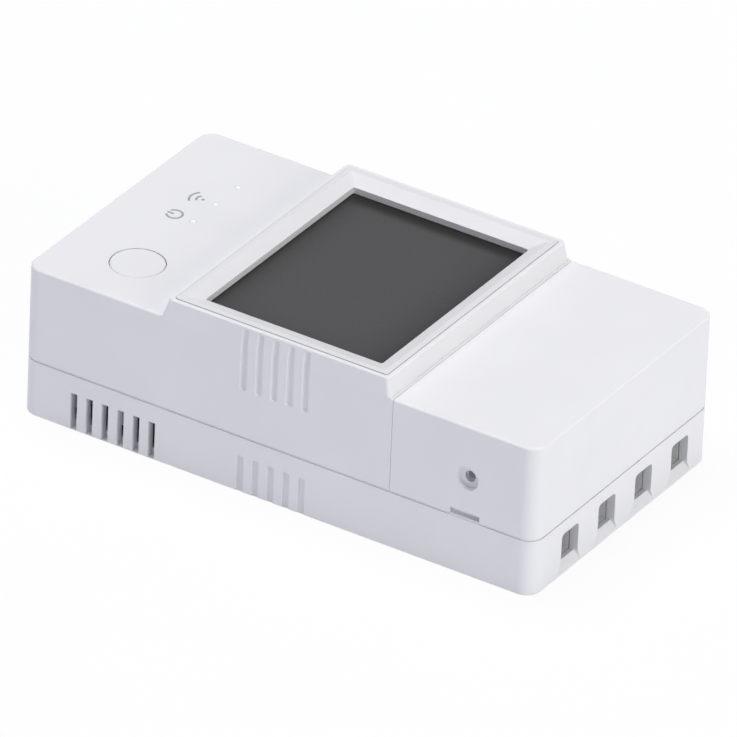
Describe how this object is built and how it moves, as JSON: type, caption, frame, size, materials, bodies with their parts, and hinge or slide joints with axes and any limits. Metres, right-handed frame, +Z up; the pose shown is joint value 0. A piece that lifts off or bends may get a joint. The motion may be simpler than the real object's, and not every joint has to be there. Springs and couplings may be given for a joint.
{
  "type": "smart switch",
  "caption": "White in-line power switch with a raised square display, round button, status lights, removable terminal cover and wire ports in one end.",
  "frame": {"origin": "centre of the underside", "axes": "+X along the case towards the wire ports, +Z up out of the display, +Y across towards the lights"},
  "size_m": [0.098, 0.054, 0.0309],
  "materials": {
    "case_white": "fine satin moulded ABS",
    "bezel_white": "smooth satin moulded ABS",
    "window_smoke": "smoked acrylic with a matt front",
    "lcd_glass": "polished glass with polarising film",
    "backlight_white": "milky acrylic",
    "clear_plastic": "clear acrylic",
    "led_body": "cast epoxy",
    "board_green": "glass-fibre board with green solder mask",
    "board_blue": "glass-fibre board with dark blue solder mask",
    "shield_tin": "pressed tin-plated steel",
    "zinc_steel": "zinc-plated steel",
    "busbar_brass": "rolled brass",
    "block_grey": "moulded polyamide",
    "black_plastic": "moulded black polyamide",
    "plunger_white": "moulded acetal",
    "relay_black": "moulded black polyester",
    "coil_copper": "enamelled copper wire",
    "relay_iron": "soft iron, nickel-plated",
    "ferrite": "sintered ferrite",
    "winding_tape": "yellow insulating tape",
    "capacitor_sleeve": "shrunk dark sleeve",
    "film_yellow": "moulded yellow box",
    "varistor_blue": "dipped blue epoxy",
    "fuse_grey": "cement coating",
    "chip_epoxy": "moulded epoxy"
  },
  "bodies": {
    "case": {"base_shell": "case_white", "bridge_rectifier": "chip_epoxy", "bulk_capacitors": "capacitor_sleeve", "busbars": "busbar_brass", "case_screws": "zinc_steel", "choke": "ferrite", "control_board": "board_green", "control_board_screws": "zinc_steel", "display_bezel": "bezel_white", "display_window": "window_smoke", "driver_chips": "chip_epoxy", "film_capacitor": "film_yellow", "fuse_resistor": "fuse_grey", "lcd_backlight": "backlight_white", "lcd_glass": "lcd_glass", "lcd_pins": "shield_tin", "light_pipe": "clear_plastic", "link_header": "black_plastic", "link_socket": "black_plastic", "main_board": "board_green", "main_cover": "case_white", "radio_board": "board_blue", "radio_shield": "shield_tin", "relay_base": "black_plastic", "relay_bobbin": "plunger_white", "relay_case": "relay_black", "relay_coil": "coil_copper", "relay_contact": "busbar_brass", "relay_yoke": "relay_iron", "sensor_contacts": "busbar_brass", "sensor_jack": "black_plastic", "status_leds": "led_body", "tact_switch_body": "black_plastic", "terminal_block": "block_grey", "transformer_core": "ferrite", "transformer_former": "black_plastic", "transformer_winding": "winding_tape", "varistor": "varistor_blue"},
    "button": {"button_cap": "case_white", "tact_switch_plunger": "plunger_white"},
    "terminal_cover": {"terminal_cover": "case_white"},
    "relay_armature": {"relay_armature": "relay_iron"},
    "terminal_screw_1": {"terminal_screw_1": "zinc_steel"},
    "wire_clamp_1": {"wire_clamp_1": "zinc_steel"},
    "terminal_screw_2": {"terminal_screw_2": "zinc_steel"},
    "wire_clamp_2": {"wire_clamp_2": "zinc_steel"},
    "terminal_screw_3": {"terminal_screw_3": "zinc_steel"},
    "wire_clamp_3": {"wire_clamp_3": "zinc_steel"},
    "terminal_screw_4": {"terminal_screw_4": "zinc_steel"},
    "wire_clamp_4": {"wire_clamp_4": "zinc_steel"}
  },
  "joints": [
    {"name": "button_press", "type": "slide", "parent": "case", "child": "button", "axis": [0, 0, -1], "range_m": [0, 0.0004], "stiffness_N_per_m": 120, "springref_m": -0.0003},
    {"name": "terminal_cover_lift", "type": "slide", "parent": "case", "child": "terminal_cover", "axis": [0, 0, 1], "range_m": [0, 0.024]},
    {"name": "relay_armature_pull", "type": "hinge", "parent": "case", "child": "relay_armature", "pos_m": [0.0046, -0.0122, 0.016], "axis": [0, 1, 0], "range_deg": [0, 5], "stiffness_Nm_per_rad": 0.004, "springref_deg": -2.86},
    {"name": "terminal_screw_1_turn", "type": "hinge", "parent": "case", "child": "terminal_screw_1", "pos_m": [0.04165, -0.01582, 0.012], "axis": [0, 0, -1], "range_deg": [0, 1440]},
    {"name": "wire_clamp_1_rise", "type": "slide", "parent": "case", "child": "wire_clamp_1", "axis": [0, 0, 1], "range_m": [0, 0.0028]},
    {"name": "terminal_screw_2_turn", "type": "hinge", "parent": "case", "child": "terminal_screw_2", "pos_m": [0.04165, -0.00468, 0.012], "axis": [0, 0, -1], "range_deg": [0, 1440]},
    {"name": "wire_clamp_2_rise", "type": "slide", "parent": "case", "child": "wire_clamp_2", "axis": [0, 0, 1], "range_m": [0, 0.0028]},
    {"name": "terminal_screw_3_turn", "type": "hinge", "parent": "case", "child": "terminal_screw_3", "pos_m": [0.04165, 0.00647, 0.012], "axis": [0, 0, -1], "range_deg": [0, 1440]},
    {"name": "wire_clamp_3_rise", "type": "slide", "parent": "case", "child": "wire_clamp_3", "axis": [0, 0, 1], "range_m": [0, 0.0028]},
    {"name": "terminal_screw_4_turn", "type": "hinge", "parent": "case", "child": "terminal_screw_4", "pos_m": [0.04165, 0.01762, 0.012], "axis": [0, 0, -1], "range_deg": [0, 1440]},
    {"name": "wire_clamp_4_rise", "type": "slide", "parent": "case", "child": "wire_clamp_4", "axis": [0, 0, 1], "range_m": [0, 0.0028]}
  ],
  "couplings": [
    {"joint": "terminal_screw_1_turn", "follows": "wire_clamp_1_rise", "rad_per_m": 8975.9},
    {"joint": "terminal_screw_2_turn", "follows": "wire_clamp_2_rise", "rad_per_m": 8975.9},
    {"joint": "terminal_screw_3_turn", "follows": "wire_clamp_3_rise", "rad_per_m": 8975.9},
    {"joint": "terminal_screw_4_turn", "follows": "wire_clamp_4_rise", "rad_per_m": 8975.9}
  ]
}
